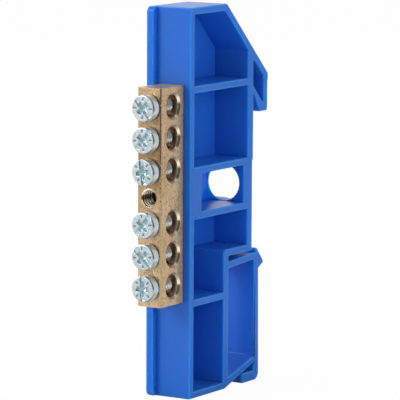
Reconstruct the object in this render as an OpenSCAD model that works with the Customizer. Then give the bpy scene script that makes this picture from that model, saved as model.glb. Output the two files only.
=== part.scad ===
// Neutral terminal bar on a snap-on insulator for a 35 mm top-hat rail.
// Frame: origin in the middle of the rail seat, X along the rail, Y away from the rail to the
// back, Z up. The bar stands on the front face, which looks to -Y.

/* [Rail] */
// Width of the rail over both flanges
rail_w = 35; // [34:0.1:36]
// Thickness of a rail flange
rail_t = 1; // [0.8:0.1:1.5]

/* [Insulator] */
// Width across, along the rail
body_w = 10.5; // [10:0.1:14]
// Height of the body
body_h = 85.4; // [82:0.2:92]
// Depth from the front face to the rail seat
body_d = 25.7; // [24:0.1:30]
// Height of the rail's middle over the bottom edge
rail_z = 46.2; // [44:0.1:50]
// Depth of the level top, before it slopes down to the hook
top_d = 14.7; // [10:0.1:18]
// Thickness of the front wall
front_wall = 1.6; // [1.2:0.1:2.4]
// Thickness of the rear wall at the rail seat
rear_wall = 2.2; // [1.6:0.1:3]
// Thickness of the top wall
top_wall = 1.6; // [1.2:0.1:2.4]
// Thickness of the bottom wall
bottom_wall = 1.5; // [1.2:0.1:2.2]
// Thickness of a cross rib
rib_t = 1.6; // [1.2:0.1:2]
// Height of the middle of the upper cross rib over the bottom edge
upper_rib_z = 67.6; // [66.7:0.1:69.2]
// Height of the middle of the lower cross rib over the bottom edge
lower_rib_z = 21; // [14.2:0.1:24.2]
// Thickness of the web that closes the far side
web_t = 1.8; // [1.2:0.1:2.4]
// How far the web stands proud of the front face as a lip
lip_h = 1.5; // [0.8:0.1:2]
// How far the lower half of the rear wall is set in from the rail seat
seat_relief = 0.3; // [0.2:0.1:0.8]

/* [Fixing] */
// Height of the fixing screw's axis over the bottom edge
fix_z = 45; // [44.2:0.1:46.2]
// Depth of the boss that the fixing screw's head pulls on
boss_d = 4.6; // [3.6:0.1:6]
// Thickness of the block behind the screw pocket
block_d = 3.8; // [3:0.1:5]
// Clear height of the screw pocket
pocket_h = 8.3; // [8.3:0.1:9.4]
// Thickness of the web behind the screw pocket
pocket_web = 0.8; // [0.6:0.1:1]
// Radius of the screwdriver passage
passage_r = 4.05; // [4:0.05:4.1]
// How far the passage's middle lies from the body's middle
passage_x = -0.2; // [-0.2:0.05:0.1]
// Thickness of the wall that the passage pierces, in front of the opening to the far side
passage_wall = 0.5; // [0.4:0.1:1]
// Height of the opening to the far side
passage_open = 7.7; // [6:0.1:7.8]
// Radial room round the fixing screw in the boss
boss_clear = 0.25; // [0.15:0.05:0.5]

/* [Hook] */
// How far the hook's outer face stands behind the rail seat
hook_d = 5.9; // [5.2:0.1:7]
// How far the hook reaches down over the rail's edge
hook_reach = 3.2; // [2.5:0.1:4]
// How far the notch runs up past the rail's edge
notch_over = 1; // [0.7:0.1:1.3]
// Width of the notch at its root
notch_root = 0.4; // [0.3:0.1:0.6]
// Wall of the hook
hook_wall = 1.45; // [1.2:0.05:2]
// Thickness of the hook over the notch
hook_roof = 2; // [1.6:0.1:2.4]
// Height of the hook's nose over the notch
nose_rise = 4.3; // [3.4:0.1:4.8]
// How far the nose stands past the hook's outer face
nose_d = 0.2; // [0.15:0.05:0.6]
// Height of the nose's straight end
nose_h = 1.8; // [1.2:0.1:2.2]

/* [Latch] */
// Depth of the body in front of the latch
lower_d = 15.75; // [15:0.05:17]
// Wall between the body's lower pockets and the latch
root_wall = 1.95; // [1.6:0.05:2.4]
// How far the level bottom edge runs on under that wall
heel_d = 0.6; // [0.2:0.05:1]
// Thickness of the shelf over the latch
shelf_t = 1.6; // [1.2:0.1:2]
// Gap between the shelf and the latch at the rail
slot_gap = 0.6; // [0.5:0.1:1]
// How far the free latch stands into the rail's place
latch_preload = 0.3; // [0:0.1:0.5]
// Rise of the latch's upper arm from its root to the rail
latch_rise = 0.7; // [0.3:0.1:1]
// Thickness of the latch's two arms
arm_t = 1.5; // [1.2:0.1:1.9]
// How far the latch's outer wall stands behind the rail seat
latch_d = 2.65; // [2.4:0.05:3.2]
// Thickness of the latch's outer wall
latch_wall = 1.8; // [1.5:0.1:2.2]
// How much thicker the latch's outer wall is at its foot
latch_taper = 0.3; // [0:0.05:0.5]
// Play of the rail's flange in front of the prong
prong_play = 0.45; // [0.3:0.05:0.6]
// Height of the prong behind the rail
prong_h = 1; // [0.7:0.1:1.3]
// Width of the prong's end
prong_t = 0.4; // [0.3:0.05:0.6]
// How far the latch's tooth stands past its outer wall
tooth_d = 2.25; // [1.8:0.05:2.5]
// Depth of the tooth's tip under the rail's edge
tooth_drop = 2.6; // [2.2:0.1:3]
// Rise of the latch's lower arm from its root to the outer wall
lower_rise = 3.3; // [2.8:0.1:4]
// Height of the finger at the latch's foot
foot_h = 2.25; // [1.8:0.05:2.4]
// Length of the finger in front of the outer wall
foot_l = 4.8; // [3.5:0.1:6]

/* [Bar] */
// Width of the bar
bar_w = 6; // [6:0.1:6.6]
// Depth of the bar
bar_d = 9; // [9:0.1:10]
// How far the bar's middle lies from the body's middle
bar_x = 0.5; // [0:0.1:0.7]
// Distance between neighbouring terminals
pitch = 6.9; // [6.7:0.1:8]
// Distance of the first terminal on each side from the fixing screw
first_pitch = 5.7; // [5.5:0.1:7]
// Distance of the last terminal from the bar's end
bar_end = 4.2; // [3.4:0.1:6]
// Diameter of a wire hole
wire_d = 4.9; // [4.4:0.1:5]
// Chamfer at both ends of a wire hole
wire_chamfer = 0.5; // [0.2:0.05:0.6]
// Distance of the wire holes from the bar's front face
wire_y = 4.9; // [4.8:0.1:5.2]
// Bevel of the bar's long edges
bar_bevel = 0.25; // [0.1:0.05:0.4]

/* [Screws] */
// Thread diameter of all screws
thread_d = 4; // [3.5:0.1:4.2]
// Radial room between a screw and its threaded hole
thread_clear = 0.15; // [0.1:0.05:0.25]
// Head diameter of a terminal screw
head_d = 5.7; // [5.4:0.1:6.2]
// Head height of a terminal screw
head_h = 2.6; // [2:0.1:3]
// Length of a terminal screw under its head
screw_l = 6.5; // [5:0.1:6.8]
// Head diameter of the fixing screw
fix_head_d = 6; // [5.6:0.1:7]
// Head height of the fixing screw
fix_head_h = 2.6; // [2:0.1:3]
// How far the fixing screw reaches into the bar
fix_grip = 4.8; // [4:0.1:6]

/* [Hidden] */
$fn = 64;
// Overlap of a cut past the face it opens
cut = 1;
// Roundings of the moulding
top_r = 1;
lip_r = 1.3;
small_r = 0.4;
foot_r = 1.8;
shelf_r = 0.9;
// Bevels of the screws
head_bevel = 0.35;
foot_bevel = 0.35;
tip_bevel = 0.3;

// Heights over the bottom edge that follow from the rail
rail_top = rail_z + rail_w / 2;
notch_z = rail_top + notch_over;
hook_z = rail_top - hook_reach;
nose_z = notch_z + nose_rise;
latch_z = rail_z - rail_w / 2 + latch_preload;
latch_root_z = latch_z - latch_rise;
shelf_z = latch_z + slot_gap;
prong_z = latch_z + prong_h;
tooth_z = latch_z - tooth_drop;
// Depths behind the front face
seat_y = body_d;
low_seat_y = body_d - seat_relief;
rear_in = body_d - rear_wall;
hook_y = body_d + hook_d;
nose_y = hook_y + nose_d;
latch_y = body_d + latch_d;
latch_in = latch_y - latch_wall;
prong_y = body_d + rail_t + prong_play;
root_in = lower_d - root_wall;
heel_y = root_in + heel_d;
// The notch is as wide as a flange where the flange's edge seats
notch_slope = (rail_t - notch_root) / notch_over;
notch_mouth = notch_root + notch_slope * (notch_z - hook_z);
// Slope of the top's rear part and of the latch's lower arm
fall = (body_h - nose_z) / (nose_y - top_d);
climb = lower_rise / (latch_in - lower_d);
arm_v = arm_t * sqrt(1 + climb * climb);
slope_v = top_wall * sqrt(1 + fall * fall);
// Screw pocket between the boss and the block
pocket_lo = fix_z - pocket_h / 2;
pocket_hi = fix_z + pocket_h / 2;
pocket_end = body_d - block_d;
// Bar, measured from the fixing screw's axis
terminals = [for (side = [1, -1]) for (i = [0:2])
    side > 0 ? first_pitch + (2 - i) * pitch : -first_pitch - i * pitch];
bar_l = 2 * (first_pitch + 2 * pitch + bar_end);
screw_r = thread_d / 2 - thread_clear;

function unit(v) = v / norm(v);
function tangent(p, q, r, half) = p + unit(q - p) * r / tan(half);
function half_angle(a, b, c) = acos(unit(a - b) * unit(c - b)) / 2;
function centre(a, b, c, r) = b + unit(unit(a - b) + unit(c - b)) * r / sin(half_angle(a, b, c));
function prev(list, i) = list[(i + len(list) - 1) % len(list)];
function next(list, i) = list[(i + 1) % len(list)];
function turn(list, i) = cross(list[i] - prev(list, i), next(list, i) - list[i]);

// Sliver between a corner and the circle that rounds it. The circle is a hundredth larger than the
// rounding, so that it crosses both edges instead of only touching them
module corner_piece(a, b, c, r) {
    o = centre(a, b, c, r);
    half = half_angle(a, b, c);
    difference() {
        polygon([o, o + 1.2 * (tangent(b, a, r, half) - o), o + 1.3 * (b - o),
                 o + 1.2 * (tangent(b, c, r, half) - o)]);
        translate(o) circle(1.01 * r);
    }
}

// Closed outline, counter-clockwise, with each corner rounded by the third value of its point
module rounded(corners) {
    points = [for (c = corners) [c[0], c[1]]];
    round = [for (i = [0:len(points) - 1]) if (corners[i][2] > 0) i];
    difference() {
        polygon(points);
        for (i = round) if (turn(points, i) > 0)
            corner_piece(prev(points, i), points[i], next(points, i), corners[i][2]);
    }
    for (i = round) if (turn(points, i) < 0)
        corner_piece(prev(points, i), points[i], next(points, i), corners[i][2]);
}

// Side view drawn as depth behind the front face and height over the bottom edge,
// given a width along X from its far face
module across(x, width) {
    translate([x, -body_d, -rail_z])
        rotate([90, 0, 90])
            linear_extrude(width) children();
}

// Corners of the rear edge from the rail seat up round the notch and the hook to the level top
function rear_edge() = [
    [low_seat_y, pocket_hi + rib_t / 2, 0],
    [seat_y, pocket_hi + rib_t / 2, 0],
    [seat_y, notch_z, 0],
    [seat_y + notch_root, notch_z, 0],
    [seat_y + notch_mouth, hook_z, small_r],
    [hook_y, hook_z, small_r],
    [hook_y, nose_z - nose_h, 0],
    [nose_y, nose_z - nose_h, 0],
    [nose_y, nose_z, small_r],
    [top_d, body_h, top_r]];

// Corners of the latch from the foot's finger round the tooth and the prong into the slot
function latch_edge() = [
    [latch_in, climb * (latch_in - lower_d) + bottom_wall - arm_v + rib_t / 2, small_r],
    [latch_in, foot_h, small_r],
    [latch_in - foot_l, foot_h, small_r],
    [latch_in - foot_l, 0, small_r],
    [latch_y + latch_taper, 0, foot_r],
    [latch_y, tooth_z - tooth_d / 2, 0],
    [latch_y + tooth_d, tooth_z, small_r],
    [prong_y + prong_t, prong_z, 0],
    [prong_y, prong_z, 0],
    [prong_y, latch_z, 0],
    [low_seat_y, latch_z, 0],
    [lower_d, latch_root_z, small_r],
    [lower_d, shelf_z, small_r],
    [low_seat_y, shelf_z, 0]];

// Whole side view of the moulding without its openings
module side_view() {
    rounded(concat([[0, 0, 0], [heel_y, 0, 0]], latch_edge(), rear_edge(), [[0, body_h, 0]]));
}

// Side view of the web, which ends at the latch and stands proud of the front face
module web_view() {
    rounded(concat([
        [-lip_h, 0, lip_r],
        [heel_y, 0, 0],
        [heel_y, shelf_z + shelf_t / 2, 0],
        [low_seat_y, shelf_z + shelf_t / 2, 0]], rear_edge(), [[-lip_h, body_h, lip_r]]));
}

// Pockets that are open to the near side and closed by the web
module pockets() {
    // Upper pocket, under the top and its slope
    rounded([
        [front_wall, upper_rib_z + rib_t / 2, 0],
        [rear_in, upper_rib_z + rib_t / 2, 0],
        [rear_in, body_h - fall * (rear_in - top_d) - slope_v, small_r],
        [top_d + (top_wall - slope_v) / fall, body_h - top_wall, small_r],
        [front_wall, body_h - top_wall, 0]]);
    // Hook pocket
    rounded([
        [seat_y, notch_z + hook_roof, small_r],
        [hook_y - hook_wall, hook_z + hook_wall, small_r],
        [hook_y - hook_wall, body_h - fall * (hook_y - hook_wall - top_d) - slope_v, small_r],
        [seat_y, body_h - fall * (seat_y - top_d) - slope_v, small_r]]);
    // Pocket over the screw pocket
    translate([front_wall, pocket_hi + rib_t])
        square([rear_in - front_wall, upper_rib_z - rib_t / 2 - pocket_hi - rib_t]);
    // Angled pocket, which runs over the shelf and down in front of the latch
    rounded([
        [front_wall, lower_rib_z + rib_t / 2, 0],
        [root_in, lower_rib_z + rib_t / 2, 0],
        [root_in, shelf_z + shelf_t, shelf_r],
        [rear_in, shelf_z + shelf_t, 0],
        [rear_in, pocket_lo - rib_t, 0],
        [front_wall, pocket_lo - rib_t, 0]]);
    // Bottom pocket
    translate([front_wall, bottom_wall])
        square([root_in - front_wall, lower_rib_z - rib_t / 2 - bottom_wall]);
}

// Window between the two arms of the latch, right through the width
module latch_window() {
    rounded([
        [lower_d, bottom_wall + rib_t / 2, small_r],
        [latch_in, bottom_wall + rib_t / 2 + lower_rise, small_r],
        [latch_in, latch_z - arm_t, small_r],
        [lower_d, latch_root_z - arm_t, small_r]]);
}

// Rod along Y, its near end given as a depth behind the front face
module rod(r, x, y, length) {
    translate([x, y - body_d, fix_z - rail_z])
        rotate([-90, 0, 0])
            cylinder(r = r, h = length);
}

module insulator_body() {
    color([0.18, 0.38, 0.75])
    difference() {
        union() {
            across(-body_w / 2, body_w)
                difference() {
                    side_view();
                    pockets();
                    latch_window();
                }
            across(-body_w / 2, web_t) web_view();
        }
        // Way of the fixing screw through the boss
        rod(thread_d / 2 + boss_clear, bar_x, -cut, boss_d + 2 * cut);
        // Screw pocket, deeper than the others, with the passage for the screwdriver behind it
        translate([pocket_web - body_w / 2, boss_d - body_d, pocket_lo - rail_z])
            cube([body_w, pocket_end - boss_d, pocket_h]);
        rod(passage_r, passage_x, pocket_end - cut, block_d + 2 * cut);
        translate([-body_w / 2 - cut, passage_wall - block_d, fix_z - rail_z - passage_open / 2])
            cube([body_w / 2 + cut, block_d - passage_wall + cut, passage_open]);
    }
}

// Bar with bevelled long edges, six chamfered wire holes with their screw holes, and the fixing hole
module neutral_bar() {
    color([0.74, 0.58, 0.36])
    translate([bar_x, -body_d, fix_z - rail_z])
    difference() {
        translate([0, 0, -bar_l / 2])
            linear_extrude(bar_l)
                polygon([
                    [-bar_w / 2 + bar_bevel, -bar_d],
                    [bar_w / 2 - bar_bevel, -bar_d],
                    [bar_w / 2, -bar_d + bar_bevel],
                    [bar_w / 2, -bar_bevel],
                    [bar_w / 2 - bar_bevel, 0],
                    [-bar_w / 2 + bar_bevel, 0],
                    [-bar_w / 2, -bar_bevel],
                    [-bar_w / 2, -bar_d + bar_bevel]]);
        for (z = terminals) {
            translate([0, wire_y - bar_d, z])
                rotate([0, 90, 0]) {
                    cylinder(d = wire_d, h = bar_w + 2 * cut, center = true);
                    for (side = [0, 180])
                        rotate([side, 0, 0])
                            translate([0, 0, bar_w / 2 - wire_chamfer - cut])
                                cylinder(d1 = wire_d - 2 * cut, d2 = wire_d + 2 * (wire_chamfer + cut),
                                         h = wire_chamfer + 2 * cut);
                }
            translate([0, -bar_d - cut, z])
                rotate([-90, 0, 0])
                    cylinder(d = thread_d, h = wire_y + cut);
        }
        translate([0, -bar_d - cut, 0])
            rotate([-90, 0, 0])
                cylinder(d = thread_d, h = bar_d + 2 * cut);
    }
}

// Screw on the Z axis: its head stands up from zero, its shank points down
module screw(d, h, length, bevel) {
    rotate_extrude()
        polygon([
            [0, -length],
            [screw_r - tip_bevel, -length],
            [screw_r, -length + tip_bevel],
            [screw_r, 0],
            [d / 2 - foot_bevel, 0],
            [d / 2, foot_bevel],
            [d / 2, h - bevel],
            [d / 2 - bevel, h],
            [0, h]]);
}

module terminal_screw(i) {
    color([0.80, 0.84, 0.88])
    translate([bar_x, -body_d - bar_d, fix_z - rail_z + terminals[i]])
        rotate([90, 0, 0])
            screw(head_d, head_h, screw_l, head_bevel);
}

module fixing_screw() {
    color([0.80, 0.84, 0.88])
    translate([bar_x, boss_d - body_d, fix_z - rail_z])
        rotate([-90, 0, 0])
            screw(fix_head_d, fix_head_h, boss_d + fix_grip, head_bevel);
}

insulator_body();
neutral_bar();
terminal_screw(0);  // terminal_screw_1
terminal_screw(1);  // terminal_screw_2
terminal_screw(2);  // terminal_screw_3
terminal_screw(3);  // terminal_screw_4
terminal_screw(4);  // terminal_screw_5
terminal_screw(5);  // terminal_screw_6
fixing_screw();
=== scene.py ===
"""Looks of the neutral terminal bar: moulded blue insulator, drawn brass bar, zinc-plated screws."""

import bmesh
import bpy
import numpy as np
from mathutils import Matrix


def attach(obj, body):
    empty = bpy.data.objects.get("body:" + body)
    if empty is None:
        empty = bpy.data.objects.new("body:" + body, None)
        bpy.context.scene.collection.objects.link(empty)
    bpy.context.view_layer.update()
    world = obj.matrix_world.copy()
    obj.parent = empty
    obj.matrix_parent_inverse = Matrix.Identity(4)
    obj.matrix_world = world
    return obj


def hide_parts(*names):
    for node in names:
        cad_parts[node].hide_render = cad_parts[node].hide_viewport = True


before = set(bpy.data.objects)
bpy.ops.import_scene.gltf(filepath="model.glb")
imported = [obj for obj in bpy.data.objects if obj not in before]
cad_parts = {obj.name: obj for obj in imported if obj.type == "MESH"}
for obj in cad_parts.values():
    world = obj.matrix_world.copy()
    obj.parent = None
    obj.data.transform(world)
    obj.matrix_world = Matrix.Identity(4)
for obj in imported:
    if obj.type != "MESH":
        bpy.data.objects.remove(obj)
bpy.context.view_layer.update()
MM = 0.001
TAU = 2 * np.pi

# Sizes in millimetres, as in the part's source
BAR_X = 0.5
BAR_Y = -34.7
BAR_HALF_W, BAR_HALF_D, BAR_HALF_H = 3.0, 4.5, 23.7
FIX_Z = -1.2
BOSS_Y = -21.1
FLOOR_Z = -46.2
FIRST_TERMINAL, TERMINAL_STEP = 5.7, 6.9
TERMINALS = [FIX_Z + side * (FIRST_TERMINAL + step * TERMINAL_STEP)
             for side, steps in ((1, (2, 1, 0)), (-1, (0, 1, 2))) for step in steps]
TERMINAL_SCREW = {"head_r": 2.85, "head_h": 2.6, "length": 6.5, "arm_r": 1.65, "thread_r": 1.97}
FIXING_SCREW = {"head_r": 3.0, "head_h": 2.6, "length": 9.4, "arm_r": 2.0, "thread_r": 1.97}

# Angle of each screw's slot, counter-clockwise from the horizontal, as seen from the front
SLOT_ANGLES = [133.0, 50.0, 99.5, 52.0, 140.0, 92.0]
FIXING_ANGLE = 30.0

# Fine forms that the looks add, in millimetres
MOULD_ROUND, BAR_ROUND = 0.28, 0.07
RIM_ROUND, FOOT_ROUND, DOME = 0.45, 0.25, 0.07
ARM_HALF, ARM_WALL = 0.58, 0.2
SLOT_DEPTH = 0.36
MARK_HALF, MARK_DEPTH = 0.09, 0.05
PITCH, ROOT, RIDGE = 0.7, 0.36, 0.34
# The hole's thread is drawn coarser than the screws', so that its turns can be told apart
HOLE_PITCH, HOLE_RIDGE = 0.9, 0.33
HOLE_FRONT, HOLE_END = 0.02, 4.1
HOLE_INNER, HOLE_OUTER = 1.985, 2.04
# Radii of the rings on a head's face, close together where its forms begin and end
FACE_RADII = np.array([0.06, 0.2, 0.36, 0.5, 0.6, 0.68, 0.85, 1.05, 1.25, 1.45, 1.6, 1.72, 1.8, 1.88,
                       1.94, 2.0, 2.04, 2.14, 2.26, 2.36, 2.42, 2.46, 2.49])

# Angles in degrees: edges from here on are sharp, faces up to here are flat, normals are shared up to here
SHARP, FLAT, SHARED = 28, 0.6, 40


# Meshes


def linked(name, data):
    """Object of the scene at the origin, for a mesh, a lamp or a camera."""
    obj = bpy.data.objects.new(name, data)
    bpy.context.scene.collection.objects.link(obj)
    return obj


def new_object(name, vertices, faces):
    """Object at the origin from points in millimetres and faces as lists of indices, shaded smooth."""
    mesh = bpy.data.meshes.new(name)
    mesh.from_pydata((np.asarray(vertices) * MM).tolist(), [], faces)
    mesh.polygons.foreach_set("use_smooth", np.ones(len(mesh.polygons), bool))
    mesh.update()
    return linked(name, mesh)


def ring_quads(rows, columns):
    """Quads between neighbouring rings of points, with each ring closed on itself."""
    start = np.arange(rows - 1)[:, None] * columns
    here = np.arange(columns)
    after = (here + 1) % columns
    corners = [start + here, start + after, start + columns + after, start + columns + here]
    return np.stack(corners, -1).reshape(-1, 4)


def capped_skin(name, rings):
    """Closed skin: quads between rings, and a fan to the middle of the first and of the last ring."""
    rows, columns = rings.shape[:2]
    vertices = np.vstack([rings.reshape(-1, 3), rings[0].mean(0), rings[-1].mean(0)])
    here = np.arange(columns)
    after = (here + 1) % columns
    last = (rows - 1) * columns
    first_fan = np.stack([np.full(columns, rows * columns), after, here], -1)
    last_fan = np.stack([np.full(columns, rows * columns + 1), last + here, last + after], -1)
    faces = ring_quads(rows, columns).tolist() + first_fan.tolist() + last_fan.tolist()
    return new_object(name, vertices, faces)


def looped_skin(name, rings):
    """Closed skin of a ring-shaped solid: quads between rings, the last ring joined to the first."""
    rows, columns = rings.shape[:2]
    faces = ring_quads(rows + 1, columns) % (rows * columns)
    return new_object(name, rings.reshape(-1, 3), faces.tolist())


def outwards(obj):
    """Turns all faces of a closed skin to point away from its inside."""
    work = bmesh.new()
    work.from_mesh(obj.data)
    bmesh.ops.recalc_face_normals(work, faces=work.faces)
    work.to_mesh(obj.data)
    work.free()


def point_values(obj, name, values):
    """Stores one number for each point, which a material reads by its name."""
    obj.data.attributes.new(name, "FLOAT", "POINT").data.foreach_set("value", np.ravel(values))


def read_values(items, name, kind, width):
    """One property of all faces or corners of a mesh, as an array with a row for each."""
    values = np.zeros(len(items) * width, kind)
    items.foreach_get(name, values)
    return values.reshape(-1, width)


def step_between(x, low, high):
    """Smooth step: 0 up to low, 1 from high on, a cubic between them."""
    t = np.clip((x - low) / (high - low), 0, 1)
    return t * t * (3 - 2 * t)


def thread_wave(axial, angle, pitch):
    """Ridge of a right-hand thread, 0 at the root and 1 at the crest: a wave that moves along the
    axis by one pitch for each turn, with straight flanks and flat crests and roots."""
    phase = np.mod(axial / pitch - angle / TAU, 1)
    return np.clip(1.5 - 4 * np.abs(phase - 0.5), 0, 1)


def head_angles(radius):
    """Angles of the columns at each radius, and the number of columns in a quarter turn. Around each
    arm of the cross two columns follow the floor's edge and two the top edge, at the arcsine of half the
    arm's width over the radius, and a thin pair follows the mark between two arms; the rest share the
    angle between them evenly."""
    quarter = np.pi / 4
    top = np.arcsin(np.minimum(ARM_HALF / radius, np.sin(quarter * 0.97)))
    floor = np.minimum(np.arcsin(np.minimum((ARM_HALF - ARM_WALL) / radius, 1)), top - 0.02)
    mark = np.minimum(np.arcsin(np.minimum(MARK_HALF / radius, 1)), (quarter - top) * 0.5)
    middle = np.full(len(radius), quarter)
    stops = [np.zeros(len(radius)), floor, top, quarter - mark, middle]
    counts = [4, 2, 4, 1]
    half = np.concatenate([
        stops[i][:, None] + (stops[i + 1] - stops[i])[:, None] * np.arange(n) / n
        for i, n in enumerate(counts)], 1)
    mirrored = 2 * quarter - half[:, :0:-1]
    one = np.concatenate([half, middle[:, None], mirrored], 1)
    return np.concatenate([one + k * 2 * quarter for k in range(4)], 1), one.shape[1]


def head_depth(radius, columns, spread, arm_r):
    """Depth of the recess in a head and the strength of its marks, for each ring and column. The cross
    is a core and four arms that get shallower outwards, the slot runs along the first arm and its
    opposite to the rim, and a fine mark lies half way between two arms."""
    from_arm = np.minimum(np.arange(columns), columns - np.arange(columns))
    arms = np.tile(np.clip((6 - from_arm) / 2, 0, 1), 4)
    arm_number = (np.arange(4 * columns) + columns // 2) // columns
    slot = arms * (arm_number % 2 == 0)
    core = 1 - step_between(radius, 0.5 * spread, 0.7 * spread)
    reach = 1 - step_between(radius, arm_r - 0.12, arm_r)
    cross = (1.25 - 0.35 * radius / spread) * reach
    depth = np.maximum(arms[None, :], core[:, None]) * cross[:, None]
    depth = np.maximum(depth, slot[None, :] * SLOT_DEPTH)
    middle = np.zeros(columns)
    middle[columns // 2 - 1:columns // 2 + 2] = (0.8, 1, 0.8)
    begin = step_between(radius, 1.62 * spread, 1.7 * spread)
    end = 1 - step_between(radius, 2.4 * spread, 2.47 * spread)
    mark = np.tile(middle, 4)[None, :] * (begin * end)[:, None]
    return depth + MARK_DEPTH * mark, mark


def screw_skin(head_r, head_h, length, arm_r, thread_r):
    """Skin of a pan screw along its own axis: a row of rings from the middle of the head, over its rim,
    down the side, in under the head and down the threaded shank to the tip. A point's height is the
    profile's height less the depth of the recess there, and a point of the shank has the thread's ridge
    added to its radius. Returns each point's radius, angle and height, and the masks of the finish."""
    face_r = head_r - RIM_ROUND
    spread = face_r / FACE_RADII[-1]
    top_r = FACE_RADII * spread
    top_a = head_h - DOME * (top_r / face_r) ** 2
    rim = np.linspace(0, np.pi / 2, 8)[1:]
    rim_r = face_r + RIM_ROUND * np.sin(rim)
    rim_a = np.minimum(head_h - RIM_ROUND * (1 - np.cos(rim)), head_h - DOME)
    side_a = np.array([head_h - 0.6, 1.6, 1.1, 0.6, 0.5])
    side_r = np.full(len(side_a), head_r)
    foot = np.linspace(0, np.pi / 2, 5)[1:]
    under_r = np.append(head_r - FOOT_ROUND * (1 - np.cos(foot)), [thread_r + 0.2, thread_r - 0.25])
    under_a = np.append(FOOT_ROUND * (1 - np.sin(foot)), [0, 0])
    shank_a = np.linspace(-0.02, -length + 0.16, int(length / PITCH * 16))
    shank_r = np.full(len(shank_a), thread_r - ROOT)
    tip_r = np.array([thread_r - 0.22, thread_r - ROOT, 0.9, 0.3])
    tip_a = np.array([-length + 0.1, -length, -length, -length])

    radius = np.concatenate([top_r, rim_r, side_r, under_r, shank_r, tip_r])
    axial = np.concatenate([top_a, rim_a, side_a, under_a, shank_a, tip_a])
    face_rows = len(top_r)
    side_row = face_rows + len(rim_r)
    head_rows = side_row + len(side_a)
    shank = slice(head_rows + len(under_r), len(radius) - len(tip_r))
    head_angle, columns = head_angles(radius[:head_rows])
    below = np.repeat(head_angle[-1:], len(radius) - head_rows, 0)
    angle = np.concatenate([head_angle, below])
    r = np.repeat(radius[:, None], angle.shape[1], 1)
    a = np.repeat(axial[:, None], angle.shape[1], 1)

    depth, mark = head_depth(radius[:head_rows], columns, spread, arm_r)
    a[:face_rows] -= depth[:face_rows]
    a[face_rows:head_rows] = np.minimum(a[face_rows:head_rows], head_h - depth[face_rows:])

    # The thread runs out under the head and at the tip
    masks = {key: np.zeros_like(a) for key in ("recess", "mark", "ridge", "shine", "side")}
    fade = step_between(-a[shank], 0.3, 0.9) * step_between(length + a[shank], 0.16, 0.5)
    masks["ridge"][:] = 1
    masks["ridge"][shank] = thread_wave(a[shank], angle[shank], PITCH)
    r[shank] = thread_r - ROOT + RIDGE * masks["ridge"][shank] * fade

    # The dark mark's painted shade also runs along the foot of the head and its underside, as a painted
    # shadow under the head
    masks["recess"][:head_rows] = step_between(depth, 0.1, 0.5)
    masks["mark"][:head_rows] = mark
    masks["mark"][head_rows - 1:shank.start] = 1
    masks["shine"][shank.start:] = 1
    masks["side"][side_row:head_rows - 1] = 1
    return r, angle, a, masks


def zinc_screw(name, node, body, place, facing, turn, sizes):
    """Screw in its place: the skin's radius and angle become X and Z, its height runs against Y when it
    faces the front, and the whole is turned about its axis by the slot's angle. The mask of its side, which
    paints light on the head's side, is weaker above than below, by the sine of the angle."""
    r, angle, a, masks = screw_skin(**sizes)
    angle = angle + np.radians(turn)
    rings = np.stack([place[0] + facing * r * np.cos(angle), place[1] - facing * a,
                      place[2] + r * np.sin(angle)], -1)
    obj = capped_skin(name, rings)
    outwards(obj)
    # Painted light on the head's side, stronger below than above.
    masks["side"] *= 0.75 - 0.25 * np.sin(angle)
    caps = {"recess": (1, 0), "mark": (0, 0), "ridge": (1, 1), "shine": (0, 1), "side": (0, 0)}
    for key, values in masks.items():
        point_values(obj, key, np.append(values, caps[key]))
    obj.data.materials.append(zinc)
    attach(obj, body)
    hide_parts(node)


def fixing_thread():
    """Thread cut into the bar's middle hole: a ring whose inner side is the nominal radius less the
    thread's ridge, widened to a countersink at the front, and whose outer side is a plain cylinder."""
    columns = 72
    depth = np.linspace(HOLE_FRONT, HOLE_END, 84)
    angle = np.arange(columns) / columns * TAU
    cut = step_between(depth, HOLE_FRONT, HOLE_FRONT + 0.12)
    ridge = thread_wave(depth[:, None], -angle[None, :], HOLE_PITCH)
    inner = HOLE_INNER - HOLE_RIDGE * ridge * cut[:, None]
    r = np.concatenate([inner, np.full((2, columns), HOLE_OUTER)])
    y = np.repeat(np.append(depth, depth[[-1, 0]])[:, None], columns, 1)
    rings = np.stack([BAR_X + r * np.cos(angle), BAR_Y + y, FIX_Z + r * np.sin(angle)], -1)
    obj = looped_skin("fixing_thread", rings)
    outwards(obj)
    point_values(obj, "ridge", np.concatenate([ridge, np.ones((2, columns))]))
    obj.data.materials.append(cut_thread)
    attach(obj, "carrier")


def weigh_edges(work, width):
    """Bevel weight of each sharp outer edge: its share of the full width, so that the bevel takes less
    than half of any edge that meets it at an angle. Sharp inner edges stay as they are."""
    straight_on = np.radians(150)
    weight = work.edges.layers.float.new("bevel_weight_edge")
    for edge in work.edges:
        if edge.calc_face_angle(0) < np.radians(SHARP):
            continue
        if not edge.is_convex:
            edge.smooth = False
            continue
        room = width
        for corner in edge.verts:
            along = edge.other_vert(corner).co - corner.co
            for other in corner.link_edges:
                turn = along.angle(other.other_vert(corner).co - corner.co)
                if other != edge and turn < straight_on:
                    room = min(room, 0.45 * other.calc_length() * np.sin(turn))
        edge[weight] = room / width


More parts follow.
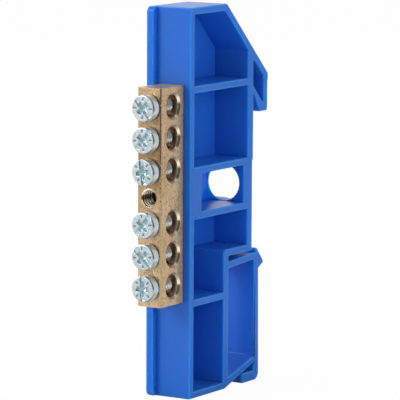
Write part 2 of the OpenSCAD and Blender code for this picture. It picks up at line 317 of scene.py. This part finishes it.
def weigh_normals(obj):
    """Takes the bevel into the mesh and gives each corner the mean normal of those faces around its point
    that turn away by less than the shared angle, weighed by their areas, so flat faces stay flat. Each
    corner is paired with all corners at its point, in one list sorted by point."""
    graph = bpy.context.evaluated_depsgraph_get()
    mesh = bpy.data.meshes.new_from_object(obj.evaluated_get(graph))
    obj.modifiers.clear()
    obj.data = mesh
    normal = read_values(mesh.polygons, "normal", np.float32, 3).astype(float)
    area = read_values(mesh.polygons, "area", np.float32, 1).astype(float)
    sides = read_values(mesh.polygons, "loop_total", np.int32, 1)[:, 0]
    point = read_values(mesh.loops, "vertex_index", np.int32, 1)[:, 0]
    face = np.repeat(np.arange(len(sides)), sides)

    by_point = face[np.argsort(point, kind="stable")]
    count = np.bincount(point)
    first = np.cumsum(count) - count
    pairs = count[point]
    corner = np.repeat(np.arange(len(point)), pairs)
    number = np.arange(len(corner)) - np.repeat(np.cumsum(pairs) - pairs, pairs)
    other = by_point[first[point[corner]] + number]
    near = (normal[face[corner]] * normal[other]).sum(1) > np.cos(np.radians(SHARED))
    mean = np.zeros((len(point), 3))
    np.add.at(mean, corner[near], (area * normal)[other[near]])
    mesh.normals_split_custom_set(mean / np.linalg.norm(mean, axis=1)[:, None])


def softened(node, name, body, width, faces, edges):
    """Copy of a CAD node with its points joined, its flat areas cleared of needless edges, its sharp outer
    edges rounded by a narrow bevel with a material of its own, and its normals weighed."""
    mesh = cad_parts[node].data.copy()
    mesh.name = name
    work = bmesh.new()
    work.from_mesh(mesh)
    bmesh.ops.remove_doubles(work, verts=work.verts, dist=0.002 * MM)
    bmesh.ops.dissolve_limit(work, angle_limit=np.radians(FLAT), verts=work.verts, edges=work.edges,
                             use_dissolve_boundaries=False)
    weigh_edges(work, width * MM)
    work.to_mesh(mesh)
    work.free()
    obj = linked(name, mesh)
    mesh.materials.clear()
    mesh.materials.append(faces)
    mesh.materials.append(edges)
    mesh.polygons.foreach_set("use_smooth", np.ones(len(mesh.polygons), bool))
    bevel = obj.modifiers.new("edge_round", "BEVEL")
    bevel.width = width * MM
    bevel.segments = 3
    bevel.limit_method = "WEIGHT"
    bevel.use_clamp_overlap = False
    bevel.material = 1
    weigh_normals(obj)
    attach(obj, body)
    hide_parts(node)


# Materials


class Nodes:
    """Short calls for one node tree. Each call adds a node and returns what comes out of it."""

    def __init__(self, tree):
        self.tree = tree

    def add(self, kind):
        return self.tree.nodes.new("ShaderNode" + kind)

    def join(self, source, target):
        self.tree.links.new(source, target)

    def math(self, operation, first, second=0.0):
        node = self.add("Math")
        node.operation = operation
        for socket, value in zip(node.inputs, (first, second)):
            if isinstance(value, float):
                socket.default_value = value
            else:
                self.join(value, socket)
        return node.outputs[0]

    def remap(self, value, low, high, to_low, to_high):
        """Straight line between two pairs of numbers, level outside them."""
        node = self.add("MapRange")
        ends = {"From Min": low, "From Max": high, "To Min": to_low, "To Max": to_high}
        for key, number in ends.items():
            node.inputs[key].default_value = number
        self.join(value, node.inputs["Value"])
        return node.outputs["Result"]

    def towards(self, vector, direction):
        """Dot product of a vector with a fixed direction."""
        node = self.add("VectorMath")
        node.operation = "DOT_PRODUCT"
        self.join(vector, node.inputs[0])
        node.inputs[1].default_value = direction
        return node.outputs["Value"]

    def length(self, vector):
        node = self.add("VectorMath")
        node.operation = "LENGTH"
        self.join(vector, node.inputs[0])
        return node.outputs["Value"]


class Finish(Nodes):
    """A node material on Object coordinates with one principled shader."""

    def __init__(self, name):
        self.material = bpy.data.materials.new(name)
        self.material.use_nodes = True
        super().__init__(self.material.node_tree)
        self.shader = self.tree.nodes["Principled BSDF"]
        self.place = self.add("TexCoord").outputs["Object"]

    def constant(self, **values):
        for name, value in values.items():
            self.shader.inputs[name.replace("_", " ")].default_value = value

    def use(self, socket, value):
        self.join(value, self.shader.inputs[socket])

    def stretched(self, scale):
        node = self.add("Mapping")
        node.inputs["Scale"].default_value = scale
        self.join(self.place, node.inputs["Vector"])
        return node.outputs["Vector"]

    def noise(self, scale, detail, rough=0.5, vector=None):
        node = self.add("TexNoise")
        node.inputs["Scale"].default_value = scale
        node.inputs["Detail"].default_value = detail
        node.inputs["Roughness"].default_value = rough
        self.join(vector or self.place, node.inputs["Vector"])
        return node.outputs["Fac"]

    def blend(self, amount, a, b):
        """Mix of two colours, each one fixed or from another node."""
        node = self.add("Mix")
        node.data_type = "RGBA"
        self.join(amount, node.inputs["Factor"])
        for socket, value in ((node.inputs[6], a), (node.inputs[7], b)):
            if isinstance(value, tuple):
                socket.default_value = (*value, 1)
            else:
                self.join(value, socket)
        return node.outputs[2]

    def place_along(self, axis):
        node = self.add("SeparateXYZ")
        self.join(self.place, node.inputs[0])
        return node.outputs[axis]

    def ramp(self, axis, low, high, to_low, to_high):
        """As remap, over the place along an axis in millimetres."""
        return self.remap(self.place_along(axis), low * MM, high * MM, to_low, to_high)

    def ramp_from(self, axis, middle, low, high, to_low, to_high):
        """As remap, over the distance from the middle along an axis in millimetres."""
        apart = self.math("ABSOLUTE", self.math("SUBTRACT", self.place_along(axis), middle * MM))
        return self.remap(apart, low * MM, high * MM, to_low, to_high)

    def stored(self, name):
        node = self.add("Attribute")
        node.attribute_name = name
        return node.outputs["Fac"]

    def bump(self, height, strength, distance):
        node = self.add("Bump")
        node.inputs["Strength"].default_value = strength
        node.inputs["Distance"].default_value = distance * MM
        self.join(height, node.inputs["Height"])
        self.use("Normal", node.outputs["Normal"])


def blue_plastic(name, low, high):
    """Moulded polyamide: deep blue that lets light in a little, with faint cloudy flow in the colour, a
    fine grain and an uneven gloss."""
    f = Finish(name)
    f.use("Base Color", f.blend(f.noise(60, 0), low, high))
    f.use("Roughness", f.remap(f.noise(150, 0), 0, 1, 0.26, 0.37))
    f.bump(f.noise(1500, 1), 0.015, 0.006)
    f.constant(IOR=1.52, Specular_IOR_Level=0.29, Subsurface_Weight=1.0, Subsurface_Scale=0.0035)
    f.constant(Subsurface_Radius=(0.12, 0.75, 0.9))
    return f.material


def under_sides(f, low, high):
    """Mask of the bar's cross bores: 0 at the first and 1 at the second depth under its side faces, in
    millimetres, and 0 on its front, rear and end faces."""
    across = f.ramp_from("X", BAR_X, BAR_HALF_W - low, BAR_HALF_W - high, 0, 1)
    along = f.ramp_from("Y", BAR_Y + BAR_HALF_D, BAR_HALF_D - 0.08, BAR_HALF_D - 0.3, 0, 1)
    up = f.ramp_from("Z", FIX_Z, BAR_HALF_H - 0.1, BAR_HALF_H - 0.3, 0, 1)
    return f.math("MULTIPLY", f.math("MULTIPLY", across, along), up)


def drawn_brass():
    """Drawn brass bar: tan metal with streaks along its length, paler clouds, and small brown specks and
    pits. The front is browner and darker around its upper middle, and its right edge has a painted dark
    reflection above and a painted highlight below. The wire holes have chamfers painted darker as shade,
    whose rear side has a brighter, smoother tone that paints their highlight, and bright bores painted
    darker inwards as shade."""
    dark_streak, pale_streak = (0.53, 0.350, 0.18), (0.79, 0.575, 0.355)
    pale_cloud, brown_speck, browner_front = (0.83, 0.615, 0.395), (0.13, 0.065, 0.022), (0.26, 0.145, 0.06)
    edge_dark_reflection, edge_highlight = (0.10, 0.05, 0.02), (0.86, 0.64, 0.34)
    chamfer_shade, chamfer_highlight = (0.50, 0.37, 0.25), (1.0, 0.86, 0.64)
    bright_bore, bore_shade = (0.66, 0.53, 0.38), (0.22, 0.155, 0.11)
    shiny_rough, bore_rough = (0.18, 0.18, 0.18), (0.30, 0.30, 0.30)

    f = Finish("drawn_brass")
    streak = f.noise(1, 4, 0.6, f.stretched((900, 900, 110)))
    cloud = f.noise(260, 3)
    speck = f.noise(1, 2, 0.6, f.stretched((3300, 3300, 2300)))
    tone = f.blend(f.remap(streak, 0.3, 0.7, 0, 1), dark_streak, pale_streak)
    tone = f.blend(f.remap(cloud, 0.35, 0.7, 0, 0.6), tone, pale_cloud)
    tone = f.blend(f.remap(speck, 0.55, 0.64, 0, 0.65), tone, brown_speck)

    front = f.ramp("Y", BAR_Y + 0.05, BAR_Y + 0.3, 1, 0)
    # Darker and browner on the front, most around its upper middle.
    upper_middle = f.ramp_from("Z", 7, 0, 22, 0.75, 0)
    tone = f.blend(f.math("MULTIPLY", front, upper_middle), tone, browner_front)
    # Along the front's right edge: a painted dark reflection above and a painted highlight below.
    right = f.ramp("X", BAR_X + BAR_HALF_W - 0.3, BAR_X + BAR_HALF_W - 0.2, 0, 1)
    reflection_split = f.math("ADD", f.noise(1, 2, 0.6, f.stretched((1, 1, 1400))), f.ramp("Z", -10, 10, 0.2, -0.12))
    edge = f.blend(f.remap(reflection_split, 0.45, 0.55, 0, 1), edge_dark_reflection, edge_highlight)
    tone = f.blend(f.math("MULTIPLY", front, right), tone, edge)

    # Chamfers painted darker as shade; on their rear side a brighter, smoother tone paints their highlight.
    chamfer = under_sides(f, 0.03, 0.10)
    highlight_side = f.math("MULTIPLY", chamfer, f.ramp("Y", BAR_Y + 5.8, BAR_Y + 6.4, 0, 1))
    bore = under_sides(f, 0.45, 0.60)
    tone = f.blend(chamfer, tone, chamfer_shade)
    tone = f.blend(highlight_side, tone, chamfer_highlight)
    tone = f.blend(bore, tone, bright_bore)
    # Painted shade: the bores darken inwards.
    tone = f.blend(under_sides(f, 0.6, 2.6), tone, bore_shade)
    f.use("Base Color", tone)
    rough = f.blend(highlight_side, f.remap(cloud, 0.3, 0.7, 0.26, 0.40), shiny_rough)
    f.use("Roughness", f.blend(bore, rough, bore_rough))
    f.use("Metallic", f.remap(f.math("ADD", highlight_side, bore), 0, 1, 0.5, 1.0))
    f.bump(speck, 0.25, 0.03)
    f.constant(Specular_IOR_Level=0.15)
    return f.material


def cut_brass():
    """Freshly cut brass of the thread: bright pale ridges with fine tool lines, grooves painted near-black
    as shade, and a painted dark reflection as a brown band across the middle of the hole."""
    tool_line, pale_metal = (0.94, 0.82, 0.58), (1.0, 0.94, 0.76)
    dark_reflection_band, groove_shade_dark = (0.20, 0.10, 0.03), (0.02, 0.009, 0.004)

    f = Finish("cut_brass")
    line = f.noise(1, 3, 0.6, f.stretched((700, 9000, 700)))
    tone = f.blend(f.remap(line, 0.3, 0.7, 0, 1), tool_line, pale_metal)
    # Painted dark reflection: a brown band across the middle of the hole.
    band = f.ramp_from("Z", FIX_Z, 0.4, 0.7, 0.92, 0)
    tone = f.blend(band, tone, dark_reflection_band)
    # Painted shade: the thread's grooves are near-black.
    f.use("Base Color", f.blend(f.remap(f.stored("ridge"), 0.38, 0.50, 0, 1), groove_shade_dark, tone))
    f.use("Roughness", f.remap(line, 0.3, 0.7, 0.07, 0.14))
    f.constant(Metallic=0.6)
    return f.material


def zinc_plate():
    """Blue-passivated zinc: bright grey metal with faint lavender and green patches, and duller on the
    head's side and in the recess, which is teal. The head's side is painted lighter, more below than
    above, as light falling on it. The fine marks, shallow grooves, and the line under the head are painted
    nearly black as shade and as the shadow under the head, and the thread is bright on its ridges and
    painted grey as shade in its grooves."""
    lavender, green, pale_grey = (0.55, 0.58, 0.66), (0.50, 0.61, 0.60), (0.72, 0.79, 0.82)
    deep_teal, pale_teal = (0.36, 0.57, 0.62), (0.62, 0.76, 0.77)
    mark_shade, painted_side_light = (0.08, 0.09, 0.10), (0.80, 0.84, 0.88)
    groove_shade_grey, bright_ridge = (0.30, 0.28, 0.27), (0.93, 0.93, 0.91)

    f = Finish("zinc_plate")
    other = f.noise(1500, 2)
    tone = f.blend(f.remap(f.noise(700, 3, 0.6), 0.40, 0.60, 0, 1), lavender, green)
    tone = f.blend(f.remap(other, 0.50, 0.68, 0, 0.7), tone, pale_grey)
    teal = f.blend(f.remap(f.noise(1900, 2, 0.6), 0.45, 0.6, 0, 1), deep_teal, pale_teal)
    tone = f.blend(f.remap(f.stored("recess"), 0, 1, 0, 0.9), tone, teal)
    # Painted shade: the fine marks and the line under the head are nearly black.
    tone = f.blend(f.remap(f.stored("mark"), 0, 1, 0, 0.9), tone, mark_shade)
    # Painted shade: the screw thread's grooves are grey.
    thread = f.blend(f.remap(f.stored("ridge"), 0, 0.3, 0, 1), groove_shade_grey, bright_ridge)
    tone = f.blend(f.stored("shine"), tone, thread)
    # Painted light: the head's side is lighter, more below than above.
    tone = f.blend(f.remap(f.stored("side"), 0, 1, 0, 0.7), tone, painted_side_light)
    f.use("Base Color", tone)
    f.use("Roughness", f.remap(other, 0.3, 0.7, 0.22, 0.36))
    dull = f.math("ADD", f.stored("side"), f.stored("recess"))
    f.use("Metallic", f.remap(dull, 0, 1, 1.0, 0.5))
    f.bump(f.noise(3000, 2), 0.10, 0.02)
    return f.material


moulded = blue_plastic("moulded_blue", (0.020, 0.155, 0.60), (0.025, 0.176, 0.65))
# The second blue is lighter and goes on the bevels of the body's edges: a painted highlight.
moulded_edge_highlight = blue_plastic("moulded_blue_edge_highlight", (0.020, 0.214, 0.63), (0.024, 0.238, 0.68))
brass = drawn_brass()
cut_thread = cut_brass()
zinc = zinc_plate()

# Pieces

softened("insulator_body", "moulded_insulator", "carrier", MOULD_ROUND, moulded, moulded_edge_highlight)
softened("neutral_bar", "drawn_bar", "carrier", BAR_ROUND, brass, brass)
fixing_thread()
for i, z in enumerate(TERMINALS):
    zinc_screw(f"zinc_terminal_screw_{i + 1}", f"terminal_screw_{i + 1}", f"screw_{i + 1}",
               (BAR_X, BAR_Y, z), 1, SLOT_ANGLES[i], TERMINAL_SCREW)
zinc_screw("zinc_fixing_screw", "fixing_screw", "carrier", (BAR_X, BOSS_Y, FIX_Z), -1, FIXING_ANGLE,
           FIXING_SCREW)


# Studio


def white_stage():
    """Wide pale floor under the object, which shows as white to the camera but keeps a part of its shadow.
    In reflections it turns dark towards the right front, where the white sheet ends, and it is dimmer
    towards the right rear; close to the object a painted shadow dims it."""
    half = 3000
    corners = [(-half, -half), (half, -half), (half, half), (-half, half)]
    floor = new_object("floor", [(x, y, FLOOR_Z) for x, y in corners], [(0, 1, 2, 3)])
    material = bpy.data.materials.new("pale_floor")
    material.use_nodes = True
    nodes = Nodes(material.node_tree)
    shader = nodes.tree.nodes["Principled BSDF"]
    shader.inputs["Base Color"].default_value = (0.85, 0.85, 0.85, 1)
    shader.inputs["Roughness"].default_value = 0.9
    rays = nodes.add("LightPath").outputs
    place = nodes.add("TexCoord").outputs["Object"]

    right_front = nodes.remap(nodes.towards(place, (0.84, -0.54, 0)), 0.09, 0.22, 1.0, 0.05)
    right_rear = nodes.remap(nodes.towards(place, (0.54, 0.84, 0)), 0.02, 0.15, 1.0, 0.70)
    # Painted shadow: in reflections the floor is dimmer close to the object.
    close = nodes.remap(nodes.length(place), 0.056, 0.076, 0.35, 1.0)
    sheet = nodes.math("MULTIPLY", nodes.math("MULTIPLY", right_front, right_rear), close)
    glow = nodes.add("Emission")
    nodes.join(nodes.math("MAXIMUM", sheet, rays["Is Camera Ray"]), glow.inputs["Strength"])
    seen = nodes.math("MAXIMUM", rays["Is Camera Ray"], rays["Is Glossy Ray"])
    mix = nodes.add("MixShader")
    nodes.join(nodes.math("MULTIPLY", seen, 0.97), mix.inputs[0])
    nodes.join(shader.outputs[0], mix.inputs[1])
    nodes.join(glow.outputs[0], mix.inputs[2])
    nodes.join(mix.outputs[0], nodes.tree.nodes["Material Output"].inputs["Surface"])
    floor.data.materials.append(material)


def white_world(light, dark_side, dark_level):
    """White surroundings: full white to the camera and in reflections, dimmer as a light. Towards the dark
    side of the room both the reflected white and the light sink, by the cosine to that direction, and the
    reflected white sinks a little towards the right rear and overhead."""
    world = bpy.data.worlds.new("white_surroundings")
    bpy.context.scene.world = world
    world.use_nodes = True
    nodes = Nodes(world.node_tree)
    rays = nodes.add("LightPath").outputs
    direction = nodes.add("TexCoord").outputs["Generated"]
    to_dark = nodes.towards(direction, dark_side)
    dark = nodes.remap(to_dark, 0.6, 0.85, 1.0, dark_level)
    right_rear = nodes.remap(nodes.towards(direction, (0.55, 0.83, 0.05)), 0.5, 0.9, 1.0, 0.70)
    overhead = nodes.remap(nodes.towards(direction, (0, 0, 1)), 0.5, 0.85, 1.0, 0.55)
    mirrored = nodes.math("MULTIPLY", nodes.math("MULTIPLY", dark, right_rear), overhead)
    mirror_rays = nodes.math("MAXIMUM", rays["Is Glossy Ray"], rays["Is Transmission Ray"])
    lit = nodes.remap(to_dark, -0.6, 0.9, 1.05 * light, 0.85 * light)
    plain = nodes.math("MAXIMUM", lit, rays["Is Camera Ray"])
    plain = nodes.math("MULTIPLY", plain, nodes.math("SUBTRACT", 1.0, mirror_rays))
    strength = nodes.math("ADD", plain, nodes.math("MULTIPLY", mirrored, mirror_rays))
    background = nodes.tree.nodes["Background"]
    background.inputs["Color"].default_value = (1, 1, 1, 1)
    nodes.join(strength, background.inputs["Strength"])


def set_axes(obj, right, up, back, place):
    """Puts a lamp or a camera at its place in millimetres, with its three axes as columns of its matrix."""
    columns = np.column_stack([right, up, back, np.array(place) * MM])
    obj.matrix_world = Matrix(np.vstack([columns, [0, 0, 0, 1]]).tolist())


def soft_box(name, place, aim, width, height, watts):
    """Rectangular soft light that looks from its place towards a point, both in millimetres."""
    lamp = bpy.data.lights.new(name, "AREA")
    lamp.shape = "RECTANGLE"
    lamp.size, lamp.size_y = width * MM, height * MM
    lamp.energy = watts
    back = np.array(place, float) - np.array(aim, float)
    back /= np.linalg.norm(back)
    right = np.cross((0, 0, 1), back)
    right /= np.linalg.norm(right)
    obj = linked(name, lamp)
    set_axes(obj, right, np.cross(back, right), back, place)
    return obj


def photo_camera(azimuth, elevation, roll, place, lens):
    """Camera at its place in millimetres; its axes come from the azimuth, the elevation and the roll."""
    a, e, t = np.radians([azimuth, elevation, roll])
    back = np.array([np.sin(a) * np.cos(e), -np.cos(a) * np.cos(e), np.sin(e)])
    level = np.array([np.cos(a), np.sin(a), 0])
    right = np.cos(t) * level + np.sin(t) * np.cross(back, level)
    data = bpy.data.cameras.new("photo_camera")
    data.lens = lens
    data.sensor_width = 36
    data.clip_start, data.clip_end = 0.05, 20
    obj = linked("photo_camera", data)
    set_axes(obj, right, np.cross(back, right), back, place)
    bpy.context.scene.camera = obj


MIDDLE = (0, -10, 0)
white_stage()
white_world(0.66, (0.85, -0.40, 0.34), 0.08)
soft_box("key_left", (-520, -680, 420), MIDDLE, 420, 420, 3.7)
soft_box("back_left", (-600, 420, 260), MIDDLE, 400, 400, 0.9)
fill = soft_box("fill_right", (640, -220, 140), MIDDLE, 300, 500, 1.1)
fill.visible_glossy = False
photo_camera(32.588, 7.955, 0.256, (372.56, -596.47, 92.57), 285.94)
bpy.context.scene.view_settings.view_transform = "Standard"
